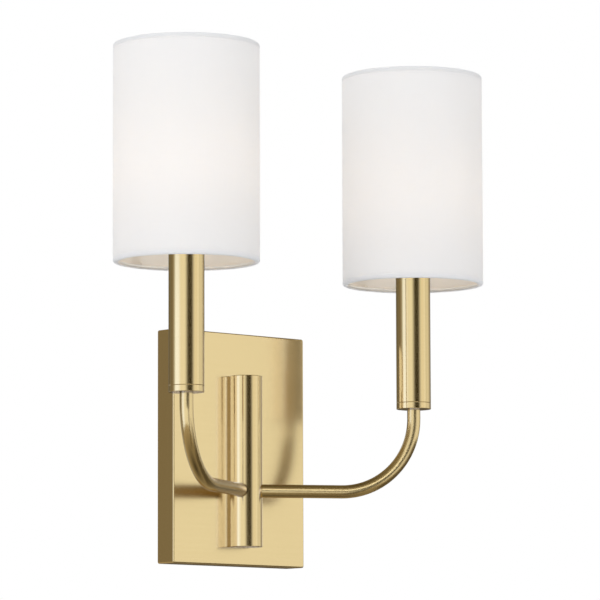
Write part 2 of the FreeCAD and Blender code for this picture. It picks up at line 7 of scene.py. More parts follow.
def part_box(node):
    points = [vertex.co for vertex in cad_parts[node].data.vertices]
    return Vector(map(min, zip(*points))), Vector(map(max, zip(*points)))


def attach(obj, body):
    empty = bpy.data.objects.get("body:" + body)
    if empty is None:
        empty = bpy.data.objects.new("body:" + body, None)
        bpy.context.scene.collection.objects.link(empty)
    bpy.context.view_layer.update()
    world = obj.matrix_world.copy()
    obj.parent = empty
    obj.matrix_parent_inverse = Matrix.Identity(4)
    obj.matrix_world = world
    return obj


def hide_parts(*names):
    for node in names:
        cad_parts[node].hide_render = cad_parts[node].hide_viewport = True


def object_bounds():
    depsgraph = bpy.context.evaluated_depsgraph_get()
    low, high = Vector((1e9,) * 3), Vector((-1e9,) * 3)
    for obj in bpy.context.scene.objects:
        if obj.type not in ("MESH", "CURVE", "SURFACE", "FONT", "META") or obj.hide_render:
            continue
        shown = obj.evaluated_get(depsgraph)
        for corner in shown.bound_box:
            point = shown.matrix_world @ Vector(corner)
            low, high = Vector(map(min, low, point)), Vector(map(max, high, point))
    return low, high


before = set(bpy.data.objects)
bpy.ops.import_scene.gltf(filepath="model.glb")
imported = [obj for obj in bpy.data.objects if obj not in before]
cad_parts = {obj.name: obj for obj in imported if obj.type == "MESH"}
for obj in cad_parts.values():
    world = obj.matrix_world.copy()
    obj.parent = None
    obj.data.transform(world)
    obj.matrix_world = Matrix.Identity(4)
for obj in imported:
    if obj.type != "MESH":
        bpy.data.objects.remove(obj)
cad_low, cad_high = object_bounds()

# A two-light wall sconce in satin brass with white linen drum shades.
# Metres, in the frame of the solids: the wall plane is y = 0, +X to the right, +Z up.

SIDES = ("left", "right")

# Shade cloth, turned in over the wire rings at both rims, with a lap seam at the back
CLOTH_THICKNESS = 0.0006
HEM_LIP = 0.0034
HEM_BEND = 0.0014
HEM_HEIGHT = 0.0026
CREASE_DEPTH = 0.00035
CREASE_WIDTH = 0.0008
BEND_STEPS = 5
RIM_RIPPLE = 0.0003
RIPPLE_SCALE = 70.0
SHADE_STEPS = 192
MERGE_DISTANCE = 1e-6
LAP_WIDTH = 0.009
LAP_THICKNESS = 0.0003
LAP_STEPS = 8
BACK_ANGLE = math.radians(90.0)

# Weave of the cloth: its threads, how uneven they are, and the share of light that comes through
THREAD_PITCH = 0.0005
THREAD_RELIEF = 0.0001
SLUB_SCALE = 0.7
SLUB_STRETCH = 0.03
LINEN_DEPTH = 0.35
LINING_DEPTH = 0.05
LIGHT_THROUGH = 0.45

# Ribs on the tapered ends of the wire connectors
RIB_COUNT = 10
RIB_RADIUS = 0.00045
RIB_SIDES = 8
CONNECTOR_SKIRT = 0.009
CONNECTOR_TIP_RADIUS = 0.0035

# Grain of the metals, as scales along X, Y and Z; streaks run along the axes of the smaller scale
TURNED = (70.0, 70.0, 5000.0)
BRUSHED_ALONG_X = (40.0, 4000.0, 4000.0)
EVEN = (900.0, 900.0, 900.0)
POLISHED = (45.0, 45.0, 45.0)
GRAIN_RELIEF = 0.00002
BROAD_STREAK_SCALE = 0.17
BROAD_STREAK_SHARE = 0.4
HAZE_SCALE = 30.0
HAZE_AMOUNT = 0.04

# Skin of moulded plastic and of powder coat, with paler spots
SKIN_SCALE = 1400.0
SKIN_RELIEF = 0.00008
PALER_BY = 0.15
PALER_SHARE = 0.25

# Colours of the finishes
BRASS = (0.83, 0.67, 0.36, 1.0)
BRASS_DEEP = (0.77, 0.605, 0.305, 1.0)
RAW_BRASS = (0.80, 0.60, 0.29, 1.0)
RAW_BRASS_DEEP = (0.66, 0.46, 0.20, 1.0)
ZINC = (0.70, 0.70, 0.68, 1.0)
ZINC_DEEP = (0.55, 0.55, 0.54, 1.0)
NICKEL = (0.76, 0.74, 0.70, 1.0)
NICKEL_DEEP = (0.66, 0.64, 0.60, 1.0)
COPPER = (0.80, 0.43, 0.27, 1.0)
COPPER_DEEP = (0.62, 0.30, 0.17, 1.0)
LINEN_LIGHT = (0.91, 0.925, 0.955, 1.0)
LINEN_DARK = (0.855, 0.87, 0.90, 1.0)
# The lap's linen is painted paler and warmer than the shade's linen. This painted light hides the shade
# that its double layer casts on the bulb's glow.
LAP_PAINTED_LIGHT_PALE = (0.97, 0.965, 0.95, 1.0)
LAP_PAINTED_LIGHT_DEEP = (0.93, 0.92, 0.90, 1.0)
# The liner's cream is its near-white plus painted warm bulb light, so the inside of the shade looks tan.
LINER_PAINTED_WARM = (0.88, 0.84, 0.77, 1.0)
GROUND_GREEN = (0.02, 0.20, 0.05, 1.0)
WIRE_BLACK = (0.012, 0.012, 0.012, 1.0)
WIRE_WHITE = (0.75, 0.75, 0.72, 1.0)
CONNECTOR_ORANGE = (0.72, 0.24, 0.02, 1.0)
SOCKET_BROWN = (0.02, 0.012, 0.01, 1.0)
INSULATOR_BLACK = (0.01, 0.01, 0.012, 1.0)
FRAME_WHITE = (0.80, 0.80, 0.78, 1.0)
GLASS = (0.98, 0.975, 0.96, 1.0)
PHOSPHOR = (0.95, 0.75, 0.35, 1.0)
FLOOR_GREY = (0.92, 0.92, 0.92, 1.0)

# Arms: level from the column, then bent upwards
ARM_SPLAY = math.radians(30.0)
ARM_BEND_RADIUS = 0.0533

# Bulbs
GLASS_REFRACTION = 1.45
BULB_LIGHT = (1.0, 0.82, 0.64)
BULB_POWER = 0.04
FILAMENT_LIGHT = (1.0, 0.72, 0.36, 1.0)
FILAMENT_GLOW = 2.5

# Camera of the photograph
CAMERA_PLACE = Vector((-1.9480, -2.2930, -0.2322))
CAMERA_YAW = math.radians(41.40)
CAMERA_PITCH = math.radians(6.469)
CAMERA_ROLL = math.radians(-0.178)
CAMERA_LENS = 251.8
SENSOR_WIDTH = 36.0

# Studio: a curved wall that only shiny parts mirror, as azimuths and colours around the object.
# The angles in these tables are degrees; azimuth 0 is in front of the wall plate and 90 to its right.
WALL_DISTANCE = 4.5
CARD_STEP = math.radians(5.0)
WHITE = (1.0, 1.0, 1.0)
WARM_WHITE = (0.95, 0.92, 0.88)
WINDOW = (1.22, 1.36, 1.80)
ROOM_DIM = (0.23, 0.19, 0.13)
ROOM_DARK = (0.12, 0.10, 0.07)
ROOM_BACK = (0.50, 0.48, 0.45)
STUDIO_WALL = (
    (-180, ROOM_BACK),
    (-168, ROOM_BACK),
    (-155, ROOM_DIM),
    (-140, ROOM_DIM),
    (-124, (0.50, 0.49, 0.46)),
    (-113, WINDOW),
    (-93, WINDOW),
    (-77, WHITE),
    (6, WHITE),
    (12, WARM_WHITE),
    (28, WARM_WHITE),
    (36, WHITE),
    (44, WHITE),
    (51, (0.78, 0.76, 0.72)),
    (60, (0.86, 0.84, 0.80)),
    (74, (0.84, 0.82, 0.78)),
    (90, (0.42, 0.40, 0.36)),
    (112, (0.30, 0.28, 0.25)),
    (118, ROOM_DARK),
    (155, ROOM_DARK),
    (168, ROOM_BACK),
    (180, ROOM_BACK),
)
WALL_RISE = (-25, 30)
CEILING_COLOURS = ((0.30, 0.24, 0.14), (0.05, 0.04, 0.02))
GROUND_COLOURS = ((0.04, 0.03, 0.015), (0.48, 0.40, 0.27))

# What the wall's colour is multiplied by when two shiny parts mirror it one after the other:
# a gain at these elevations, less of it in crevices, where a third part comes in, and a loss elsewhere
MIRRORED_RISE = (-3, 15)
MIRRORED_GAIN = (1.22, 1.42, 2.42)
CREVICE_GAIN = (0.64, 0.73, 1.22)
MIRRORED_LOSS = (0.34, 0.36, 0.52)

# Cards in front of the wall, with soft sides: azimuths, elevations and colour
SOFT_CARD_DISTANCE = 4.0
SOFT_CARD_SPACING = 0.05
SOFT_SHARE = 0.4
SOFT_CARDS = {
    "front_gap": ((-55, 17), (-3, 13), (0.036, 0.026, 0.006)),
    "front_strip": ((-50, 10), (13, 27), (1.8, 1.8, 1.8)),
    "middle_gap": ((-19, 3), (-50, -3), (0.06, 0.05, 0.03)),
    "low_gap": ((2, 135), (-50, -9), (0.10, 0.08, 0.05)),
    "window_top": ((-140, -66), (9, 30), (0.36, 0.29, 0.16)),
    "back_gap": ((145, 215), (1, 12), (0.17, 0.145, 0.10)),
}

# Even light, and a large soft key light
AMBIENT = 1.06
KEY_AZIMUTH = math.radians(-60.0)
KEY_ELEVATION = math.radians(14.0)
KEY_DISTANCE = 3.5
KEY_WIDTH = 1.8
KEY_POWER = 25.0

# Floor
FLOOR_DROP = 0.27
FLOOR_HALF_WIDTH = 6.0
FLOOR_FADE = (1.0, 4.0)


# Node helpers

def feed(tree, socket, value):
    """Links an output to a socket, or sets the socket's own value."""
    if isinstance(value, bpy.types.NodeSocket):
        tree.links.new(value, socket)
    else:
        socket.default_value = value


def add_node(tree, kind, inputs=None, **settings):
    """A node of that kind, with its settings and with values or links for its inputs."""
    made = tree.nodes.new(kind)
    for name, value in settings.items():
        setattr(made, name, value)
    for key, value in (inputs or {}).items():
        feed(tree, made.inputs[key], value)
    return made


def calculate(tree, operation, first, second=0.0):
    """The output of one arithmetic node."""
    return add_node(tree, "ShaderNodeMath", {0: first, 1: second}, operation=operation).outputs[0]


def blend_values(tree, share, first, second):
    """A value between two others, by a share from 0 to 1."""
    return add_node(tree, "ShaderNodeMix", {0: share, 2: first, 3: second}).outputs[0]


def blend_colours(tree, share, first, second):
    """A colour between two others, by a share from 0 to 1."""
    return add_node(tree, "ShaderNodeMix", {0: share, 6: first, 7: second}, data_type="RGBA").outputs[2]


def combine(tree, x, y, z=0.0):
    """A vector from three values."""
    return add_node(tree, "ShaderNodeCombineXYZ", {"X": x, "Y": y, "Z": z}).outputs[0]


def start_group(name, kind, inputs, outputs):
    """An empty node group with named sockets, its given values and its results."""
    group = bpy.data.node_groups.new(name, kind)
    for socket_name, socket_type, default in inputs:
        socket = group.interface.new_socket(socket_name, in_out="INPUT", socket_type=socket_type)
        if default is not None:
            socket.default_value = default
    for socket_name, socket_type in outputs:
        group.interface.new_socket(socket_name, in_out="OUTPUT", socket_type=socket_type)
    return group, group.nodes.new("NodeGroupInput").outputs, group.nodes.new("NodeGroupOutput").inputs


def place_group(tree, group, inputs):
    """The outputs of a shared group placed in a material, with its inputs fed."""
    made = tree.nodes.new("ShaderNodeGroup")
    made.node_tree = group
    for key, value in inputs.items():
        feed(tree, made.inputs[key], value)
    return made.outputs


def start_material(name):
    """A material with one Principled shader on its output."""
    material = bpy.data.materials.new(name)
    material.use_nodes = True
    tree = material.node_tree
    tree.nodes.clear()
    shader = add_node(tree, "ShaderNodeBsdfPrincipled")
    output = add_node(tree, "ShaderNodeOutputMaterial", {"Surface": shader.outputs[0]})
    return material, tree, shader.inputs, output.inputs


def object_place(tree, scale=(1.0, 1.0, 1.0)):
    """Places on the piece, multiplied by a scale for each axis."""
    place = add_node(tree, "ShaderNodeTexCoord").outputs["Object"]
    return add_node(tree, "ShaderNodeMapping", {"Vector": place, "Scale": scale}).outputs[0]


# Shared surface effects

def brushed_grain():
    """Streaks of brushed or turned metal; the coordinates come in stretched along the grain."""
    group, given, result = start_group(
        "Brushed grain", "ShaderNodeTree",
        [("Coordinates", "NodeSocketVector", None), ("Depth", "NodeSocketFloat", 0.05)],
        [("Streak", "NodeSocketFloat"), ("Normal", "NodeSocketVector")],
    )
    fine = add_node(group, "ShaderNodeTexNoise",
                    {"Vector": given["Coordinates"], "Scale": 1.0, "Detail": 5.0, "Roughness": 0.62})
    broad = add_node(group, "ShaderNodeTexNoise",
                     {"Vector": given["Coordinates"], "Scale": BROAD_STREAK_SCALE, "Detail": 2.0,
                      "Roughness": 0.5})
    streak = blend_values(group, BROAD_STREAK_SHARE, fine.outputs[0], broad.outputs[0])
    feed(group, result["Streak"], streak)
    bump = add_node(group, "ShaderNodeBump",
                    {"Height": fine.outputs[0], "Strength": given["Depth"], "Distance": GRAIN_RELIEF})
    feed(group, result["Normal"], bump.outputs[0])
    return group


def handling_haze():
    """Soft large patches where a lacquer or a bare metal is a little duller."""
    group, given, result = start_group(
        "Handling haze", "ShaderNodeTree",
        [("Coordinates", "NodeSocketVector", None), ("Amount", "NodeSocketFloat", 1.0)],
        [("Haze", "NodeSocketFloat")],
    )
    cloud = add_node(group, "ShaderNodeTexNoise",
                     {"Vector": given["Coordinates"], "Scale": HAZE_SCALE, "Detail": 3.0,
                      "Roughness": 0.55})
    feed(group, result["Haze"], calculate(group, "MULTIPLY", cloud.outputs[0], given["Amount"]))
    return group


def linen_weave():
    """Plain weave from map coordinates in metres: thread heights, and uneven thick and thin threads."""
    group, given, result = start_group(
        "Linen weave", "ShaderNodeTree",
        [("Coordinates", "NodeSocketVector", None), ("Pitch", "NodeSocketFloat", THREAD_PITCH)],
        [("Height", "NodeSocketFloat"), ("Slub", "NodeSocketFloat")],
    )
    apart = add_node(group, "ShaderNodeSeparateXYZ", {0: given["Coordinates"]})
    counts = [calculate(group, "DIVIDE", apart.outputs[axis], given["Pitch"]) for axis in ("X", "Y")]
    arcs = [calculate(group, "MULTIPLY", calculate(group, "FRACT", count), math.pi) for count in counts]
    rounds = [calculate(group, "SINE", arc) for arc in arcs]
    cell = calculate(group, "ADD", *[calculate(group, "FLOOR", count) for count in counts])
    over = calculate(group, "FLOORED_MODULO", cell, 2.0)
    feed(group, result["Height"], blend_values(group, over, rounds[0], rounds[1]))
    warp = combine(group, counts[0], calculate(group, "MULTIPLY", counts[1], SLUB_STRETCH))
    weft = combine(group, calculate(group, "MULTIPLY", counts[0], SLUB_STRETCH), counts[1])
    uneven = []
    for threads in (warp, weft):
        noise = add_node(group, "ShaderNodeTexNoise",
                         {"Vector": threads, "Scale": SLUB_SCALE, "Detail": 3.0})
        uneven.append(noise.outputs[0])
    feed(group, result["Slub"], blend_values(group, 0.5, *uneven))
    return group


def moulded_skin():
    """The faint pebbled skin of moulded plastic and of powder coat."""
    group, given, result = start_group(
        "Moulded skin", "ShaderNodeTree",
        [("Coordinates", "NodeSocketVector", None), ("Depth", "NodeSocketFloat", 0.1)],
        [("Tone", "NodeSocketFloat"), ("Normal", "NodeSocketVector")],
    )
    pebble = add_node(group, "ShaderNodeTexNoise",
                      {"Vector": given["Coordinates"], "Scale": SKIN_SCALE, "Detail": 2.0})
    feed(group, result["Tone"], pebble.outputs[0])
    bump = add_node(group, "ShaderNodeBump",
                    {"Height": pebble.outputs[0], "Strength": given["Depth"], "Distance": SKIN_RELIEF})
    feed(group, result["Normal"], bump.outputs[0])
    return group


BRUSHED_GRAIN = brushed_grain()
HANDLING_HAZE = handling_haze()
LINEN_WEAVE = linen_weave()
MOULDED_SKIN = moulded_skin()


# Materials

def upwards(tree):
    """The direction across the plate's level grain."""
    return combine(tree, 0.0, 0.0, 1.0)


def round_arm(side):
    """For one arm, a maker of the direction round its bent tube."""
    low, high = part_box(f"{side}_arm")
    candle_low, candle_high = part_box(f"{side}_candle_sleeve")
    candle = (candle_low + candle_high) / 2
    tube_radius = max(-low.x, high.x) - abs(candle.x)
    outwards = Vector((math.copysign(math.cos(ARM_SPLAY), candle.x), -math.sin(ARM_SPLAY), 0.0))
    bend_reach = candle.dot(outwards) - ARM_BEND_RADIUS
    bend_height = low.z + tube_radius + ARM_BEND_RADIUS

    def round_tube(tree):
        """The direction round the tube: across its run, which turns from level to upright in the bend."""
        place = add_node(tree, "ShaderNodeTexCoord").outputs["Object"]
        along = add_node(tree, "ShaderNodeVectorMath", {0: place, 1: outwards}, operation="DOT_PRODUCT")
        reach = along.outputs["Value"]
        height = add_node(tree, "ShaderNodeSeparateXYZ", {0: place}).outputs["Z"]
        rising = calculate(tree, "MAXIMUM", calculate(tree, "SUBTRACT", reach, bend_reach), 0.0)
        level = calculate(tree, "MAXIMUM", calculate(tree, "SUBTRACT", bend_height, height), 0.0)
        run = combine(tree, calculate(tree, "MULTIPLY", level, outwards.x),
                      calculate(tree, "MULTIPLY", level, outwards.y), rising)
        surface = add_node(tree, "ShaderNodeNewGeometry").outputs["Normal"]
        around = add_node(tree, "ShaderNodeVectorMath", {0: surface, 1: run}, operation="CROSS_PRODUCT")
        return around.outputs[0]

    return round_tube


def metal(name, bright, deep, roughness, grain_scale, grain_depth=0.05, stretch=0.0, across=upwards):
    """A metal with a grain along the axes of the smaller scale; reflections may be stretched across it."""
    material, tree, shader, _ = start_material(name)
    grain = place_group(tree, BRUSHED_GRAIN,
                        {"Coordinates": object_place(tree, grain_scale), "Depth": grain_depth})
    haze = place_group(tree, HANDLING_HAZE, {"Coordinates": object_place(tree), "Amount": HAZE_AMOUNT})
    feed(tree, shader["Base Color"], blend_colours(tree, grain["Streak"], deep, bright))
    feed(tree, shader["Roughness"], calculate(tree, "ADD", haze["Haze"], roughness))
    feed(tree, shader["Normal"], grain["Normal"])
    shader["Metallic"].default_value = 1.0
    if stretch:
        shader["Anisotropic"].default_value = stretch
        feed(tree, shader["Tangent"], across(tree))
    return material


def plastic(name, colour, roughness, skin_depth):
    """A moulded or coated surface."""
    material, tree, shader, _ = start_material(name)
    skin = place_group(tree, MOULDED_SKIN, {"Coordinates": object_place(tree), "Depth": skin_depth})
    paler = [(1.0 - PALER_BY) * part + PALER_BY for part in colour]
    share = calculate(tree, "MULTIPLY", skin["Tone"], PALER_SHARE)
    feed(tree, shader["Base Color"], blend_colours(tree, share, colour, paler))
    feed(tree, shader["Normal"], skin["Normal"])
    shader["Roughness"].default_value = roughness
    return material


def clear_glass(name):
    """Clear blown glass."""
    material, _, shader, _ = start_material(name)
    shader["Base Color"].default_value = GLASS
    shader["Roughness"].default_value = 0.0
    shader["Transmission Weight"].default_value = 1.0
    shader["IOR"].default_value = GLASS_REFRACTION
    return material


def glowing_filament(name):
    """Phosphor coated strips, lit."""
    material, _, shader, _ = start_material(name)
    shader["Base Color"].default_value = PHOSPHOR
    shader["Roughness"].default_value = 0.5
    shader["Emission Color"].default_value = FILAMENT_LIGHT
    shader["Emission Strength"].default_value = FILAMENT_GLOW
    return material


def cloth(name, light, dark, weave_depth):
    """Woven cloth or its liner: part of the light is thrown back and part comes through."""
    material, tree, shader, output = start_material(name)
    place = add_node(tree, "ShaderNodeUVMap", uv_map="UVMap").outputs[0]
    weave = place_group(tree, LINEN_WEAVE, {"Coordinates": place, "Pitch": THREAD_PITCH})
    colour = blend_colours(tree, weave["Slub"], dark, light)
    bump = add_node(tree, "ShaderNodeBump",
                    {"Height": weave["Height"], "Strength": weave_depth,
                     "Distance": THREAD_RELIEF}).outputs[0]
    feed(tree, shader["Base Color"], colour)
    feed(tree, shader["Normal"], bump)
    shader["Roughness"].default_value = 0.9
    shader["Specular IOR Level"].default_value = 0.2
    middle = [(one + other) / 2 for one, other in zip(light, dark)]
    glow = add_node(tree, "ShaderNodeBsdfTranslucent", {"Color": middle, "Normal": bump})
    principled = output["Surface"].links[0].from_socket
    both = add_node(tree, "ShaderNodeMixShader", {0: LIGHT_THROUGH, 1: principled, 2: glow.outputs[0]})
    feed(tree, output["Surface"], both.outputs[0])
    return material


def dress(material, *nodes):
    """Gives solids of the frame a finish."""
    for name in nodes:
        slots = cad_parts[name].data.materials
        for index in range(len(slots)):
            slots[index] = material


def both_sides(*pieces):
    """The names of pieces that stand on the left and on the right."""
    return [f"{side}_{piece}" for piece in pieces for side in SIDES]


dress(
    metal("brass_plate", BRASS, BRASS_DEEP, roughness=0.16, grain_scale=BRUSHED_ALONG_X, stretch=0.5),
    "backplate", "plate_screws",
)
dress(
    metal("brass_turned", BRASS, BRASS_DEEP, roughness=0.12, grain_scale=TURNED, grain_depth=0.015),
    "column_tube", "column_top_plug", "column_bottom_plug", *both_sides("candle_cap", "candle_sleeve"),
)
for side in SIDES:
    dress(
        metal(f"brass_bent_{side}", BRASS, BRASS_DEEP, roughness=0.20, grain_scale=POLISHED,
              grain_depth=0.0, stretch=0.8, across=round_arm(side)),
        f"{side}_arm",
    )
dress(
    metal("brass_raw", RAW_BRASS, RAW_BRASS_DEEP, roughness=0.24, grain_scale=EVEN),
    "arm_hub", "hub_nut", *both_sides("cap_nut", "socket_shell", "socket_contact"),
)
dress(
    metal("zinc_plate", ZINC, ZINC_DEEP, roughness=0.34, grain_scale=EVEN),
    "wall_strap", "hub_nipple", "column_screws", *both_sides("socket_leg"),
)
dress(
    metal("nickel_plate", NICKEL, NICKEL_DEEP, roughness=0.2, grain_scale=TURNED),
    *both_sides("bulb_base", "bulb_contact"),
)
dress(
    metal("clip_plate", BRASS, BRASS_DEEP, roughness=0.25, grain_scale=POLISHED, grain_depth=0.0),
    *both_sides("bulb_clip"),
)
dress(metal("copper_wire", COPPER, COPPER_DEEP, roughness=0.3, grain_scale=EVEN), "ground_wire")
dress(plastic("ground_green", GROUND_GREEN, roughness=0.4, skin_depth=0.05), "ground_screw")
dress(plastic("wire_black", WIRE_BLACK, roughness=0.45, skin_depth=0.1), *both_sides("live_wire"))
dress(plastic("wire_white", WIRE_WHITE, roughness=0.45, skin_depth=0.1), *both_sides("neutral_wire"))
CONNECTOR_PLASTIC = plastic("connector_orange", CONNECTOR_ORANGE, roughness=0.5, skin_depth=0.2)
dress(CONNECTOR_PLASTIC, "live_connector", "neutral_connector")
dress(plastic("socket_brown", SOCKET_BROWN, roughness=0.35, skin_depth=0.1), *both_sides("socket_body"))
dress(
    plastic("insulator_black", INSULATOR_BLACK, roughness=0.08, skin_depth=0.0),
    *both_sides("bulb_insulator"),
)
dress(
    plastic("frame_white", FRAME_WHITE, roughness=0.4, skin_depth=0.1),
    *both_sides("shade_frame", "shade_bottom_ring"),
)
dress(clear_glass("bulb_glass"), *both_sides("bulb_glass", "bulb_mount"))
dress(glowing_filament("filament"), *both_sides("bulb_filaments"))
LINEN = cloth("linen", LINEN_LIGHT, LINEN_DARK, LINEN_DEPTH)
# Lap seam finish: linen painted paler, as painted light over the shade of the double layer
LAP_LINEN_PAINTED_LIGHT = cloth("lap_linen_painted_light", LAP_PAINTED_LIGHT_PALE, LAP_PAINTED_LIGHT_DEEP, LINEN_DEPTH)
# Inside finish of the shade: liner tinted cream as painted warm light from the bulb
LINING_PAINTED_WARM = cloth("lining_painted_warm", LINER_PAINTED_WARM, LINER_PAINTED_WARM, LINING_DEPTH)


# Pieces grown by geometry trees

def end_tree(tree, given, result, geometry):
    """Ends a geometry tree: instances are made real and the finish is set."""
    whole = add_node(tree, "GeometryNodeRealizeInstances", {"Geometry": geometry})
    covered = add_node(tree, "GeometryNodeSetMaterial",
                       {"Geometry": whole.outputs[0], "Material": given["Finish"]})
    feed(tree, result["Geometry"], covered.outputs[0])


def grow(name, tree, values, thickness=0.0, inside=None):
    """A plain mesh from a geometry tree; a sheet is thickened inwards and may have a finish inside."""
    piece = bpy.data.objects.new(name, bpy.data.meshes.new(name))
    bpy.context.scene.collection.objects.link(piece)
    for material in (values["Finish"], inside):
        if material:
            piece.data.materials.append(material)
    shape = piece.modifiers.new("Shape", "NODES")
    shape.node_group = tree
    for item in tree.interface.items_tree:
        if item.in_out == "INPUT" and item.name in values:
            shape[item.identifier] = values[item.name]
    if thickness:
        wall = piece.modifiers.new("Wall", "SOLIDIFY")
        wall.thickness = thickness
        wall.offset = -1.0
        wall.use_even_offset = True
        wall.material_offset = 1 if inside else 0
    state = bpy.context.evaluated_depsgraph_get()
    mesh = bpy.data.meshes.new_from_object(piece.evaluated_get(state))
    piece.modifiers.clear()
    piece.data = mesh
    if inside and len(mesh.materials) < 2:
        mesh.materials.append(inside)
    return piece


# Shade cloth

def cloth_section(tree, given):
    """Half profile of the cloth from rim to rim: turned-in lip, rounded rim and crease beside each wire."""
    rim = [
        (calculate(tree, "MULTIPLY", given["Hem lip"], -1.0), 0.0),
        (0.0, 0.0),
        (0.0, HEM_HEIGHT),
        (-CREASE_DEPTH, HEM_HEIGHT + CREASE_WIDTH),
        (0.0, HEM_HEIGHT + 2 * CREASE_WIDTH),
        (0.0, HEM_HEIGHT + 5 * CREASE_WIDTH),
    ]
    upper = [combine(tree, inward, down) for inward, down in rim]
    lower = [
        combine(tree, inward, calculate(tree, "SUBTRACT", given["Height"], down))
        for inward, down in rim
    ]
    corners = upper + lower[::-1]
    index = add_node(tree, "GeometryNodeInputIndex").outputs[0]
    pick = add_node(tree, "GeometryNodeIndexSwitch", {"Index": index}, data_type="VECTOR")
    while len(pick.index_switch_items) < len(corners):
        pick.index_switch_items.new()
    for number, corner in enumerate(corners, 1):
        feed(tree, pick.inputs[number], corner)
    line = add_node(tree, "GeometryNodeMeshLine", {"Count": len(corners)})
    curve = add_node(tree, "GeometryNodeMeshToCurve", {"Mesh": line.outputs[0]})
    shaped = add_node(tree, "GeometryNodeSetPosition",
                      {"Geometry": curve.outputs[0], "Position": pick.outputs[0]})
    rounded = add_node(tree, "GeometryNodeFilletCurve",
                       {"Curve": shaped.outputs[0], "Count": BEND_STEPS, "Radius": given["Hem bend"],
                        "Limit Radius": True}, mode="POLY")
    return rounded.outputs[0]


def keep_length(tree, curve, name):
    """The curve, and the length along it kept for the cloth's map."""
    length = add_node(tree, "GeometryNodeSplineParameter").outputs["Length"]
    kept = add_node(tree, "GeometryNodeCaptureAttribute", {"Geometry": curve})
    kept.capture_items.new("FLOAT", name)
    feed(tree, kept.inputs[name], length)
    return kept.outputs["Geometry"], kept.outputs[name]


def linen_drum():
    """A drum of cloth, or a strip of one, hung from the middle of its top rim and swept round it."""
    tree, given, result = start_group(
        "Linen drum", "GeometryNodeTree",
        [("Radius", "NodeSocketFloat", None), ("Height", "NodeSocketFloat", None),
         ("Hem lip", "NodeSocketFloat", HEM_LIP), ("Hem bend", "NodeSocketFloat", HEM_BEND),
         ("Start", "NodeSocketFloat", BACK_ANGLE), ("Sweep", "NodeSocketFloat", math.tau),
         ("Steps", "NodeSocketInt", SHADE_STEPS), ("Ripple", "NodeSocketFloat", RIM_RIPPLE),
         ("Seed", "NodeSocketFloat", None), ("Top", "NodeSocketVector", None),
         ("Finish", "NodeSocketMaterial", None)],
        [("Geometry", "NodeSocketGeometry")],
    )
    section, down = keep_length(tree, cloth_section(tree, given), "Down")
    arc = add_node(tree, "GeometryNodeCurveArc",
                   {"Resolution": calculate(tree, "ADD", given["Steps"], 1.0), "Radius": given["Radius"],
                    "Start Angle": given["Start"], "Sweep Angle": given["Sweep"]}, mode="RADIUS")
    rail, around = keep_length(tree, arc.outputs[0], "Around")
    swept = add_node(tree, "GeometryNodeCurveToMesh", {"Curve": rail, "Profile Curve": section})
    flat_place = combine(tree, around, down)
    mapped = add_node(tree, "GeometryNodeStoreNamedAttribute",
                      {"Geometry": swept.outputs[0], "Name": "UVMap", "Value": flat_place},
                      data_type="FLOAT2", domain="CORNER")
    closed = add_node(tree, "GeometryNodeMergeByDistance",
                      {"Geometry": mapped.outputs[0], "Distance": MERGE_DISTANCE})
    place = add_node(tree, "GeometryNodeInputPosition").outputs[0]
    wander = add_node(tree, "ShaderNodeTexNoise", {"Vector": place, "Scale": RIPPLE_SCALE, "Detail": 1.0},
                      noise_dimensions="4D")
    feed(tree, wander.inputs["W"], given["Seed"])
    swing = add_node(tree, "ShaderNodeVectorMath", {0: wander.outputs["Color"], 1: (0.5, 0.5, 0.5)},
                     operation="SUBTRACT")
    ripple = add_node(tree, "ShaderNodeVectorMath", {0: swing.outputs[0], "Scale": given["Ripple"]},
                      operation="SCALE")
    offset = add_node(tree, "ShaderNodeVectorMath", {0: ripple.outputs[0], 1: given["Top"]})
    hung = add_node(tree, "GeometryNodeSetPosition",
                    {"Geometry": closed.outputs[0], "Offset": offset.outputs[0]})
    smooth = add_node(tree, "GeometryNodeSetShadeSmooth", {"Geometry": hung.outputs[0]})
    end_tree(tree, given, result, smooth.outputs[0])
    return tree


LINEN_DRUM = linen_drum()


def shade_cloth(side, seed):
    """The linen of one shade on its rings, with a lap seam at the back; the brass doesn't mirror shades."""
    low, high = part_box(f"{side}_shade_drum")
    radius = (high.x - low.x) / 2
    height = high.z - low.z
    top = Vector(((low.x + high.x) / 2, (low.y + high.y) / 2, high.z))
    values = {"Radius": radius, "Height": height, "Hem lip": HEM_LIP, "Hem bend": HEM_BEND,
              "Start": BACK_ANGLE, "Sweep": math.tau, "Steps": SHADE_STEPS, "Ripple": RIM_RIPPLE,
              "Seed": seed, "Top": top, "Finish": LINEN}
    drum = grow(f"{side}_shade_linen", LINEN_DRUM, values, CLOTH_THICKNESS, LINING_PAINTED_WARM)
    lap_values = values | {"Radius": radius + LAP_THICKNESS, "Sweep": LAP_WIDTH / radius,
                           "Steps": LAP_STEPS, "Finish": LAP_LINEN_PAINTED_LIGHT}
    lap = grow(f"{side}_shade_lap", LINEN_DRUM, lap_values, LAP_THICKNESS)
    for piece in (drum, lap):
        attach(piece, f"{side}_shade")
    wire_pieces = ("shade_frame", "shade_bottom_ring", "bulb_clip")
    hanging = [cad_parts[f"{side}_{name}"] for name in wire_pieces]
    for piece in (drum, lap, *hanging):
        piece.visible_glossy = False
    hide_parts(f"{side}_shade_drum")


for number, side in enumerate(SIDES):
    shade_cloth(side, float(number))


# Ribs of the wire connectors

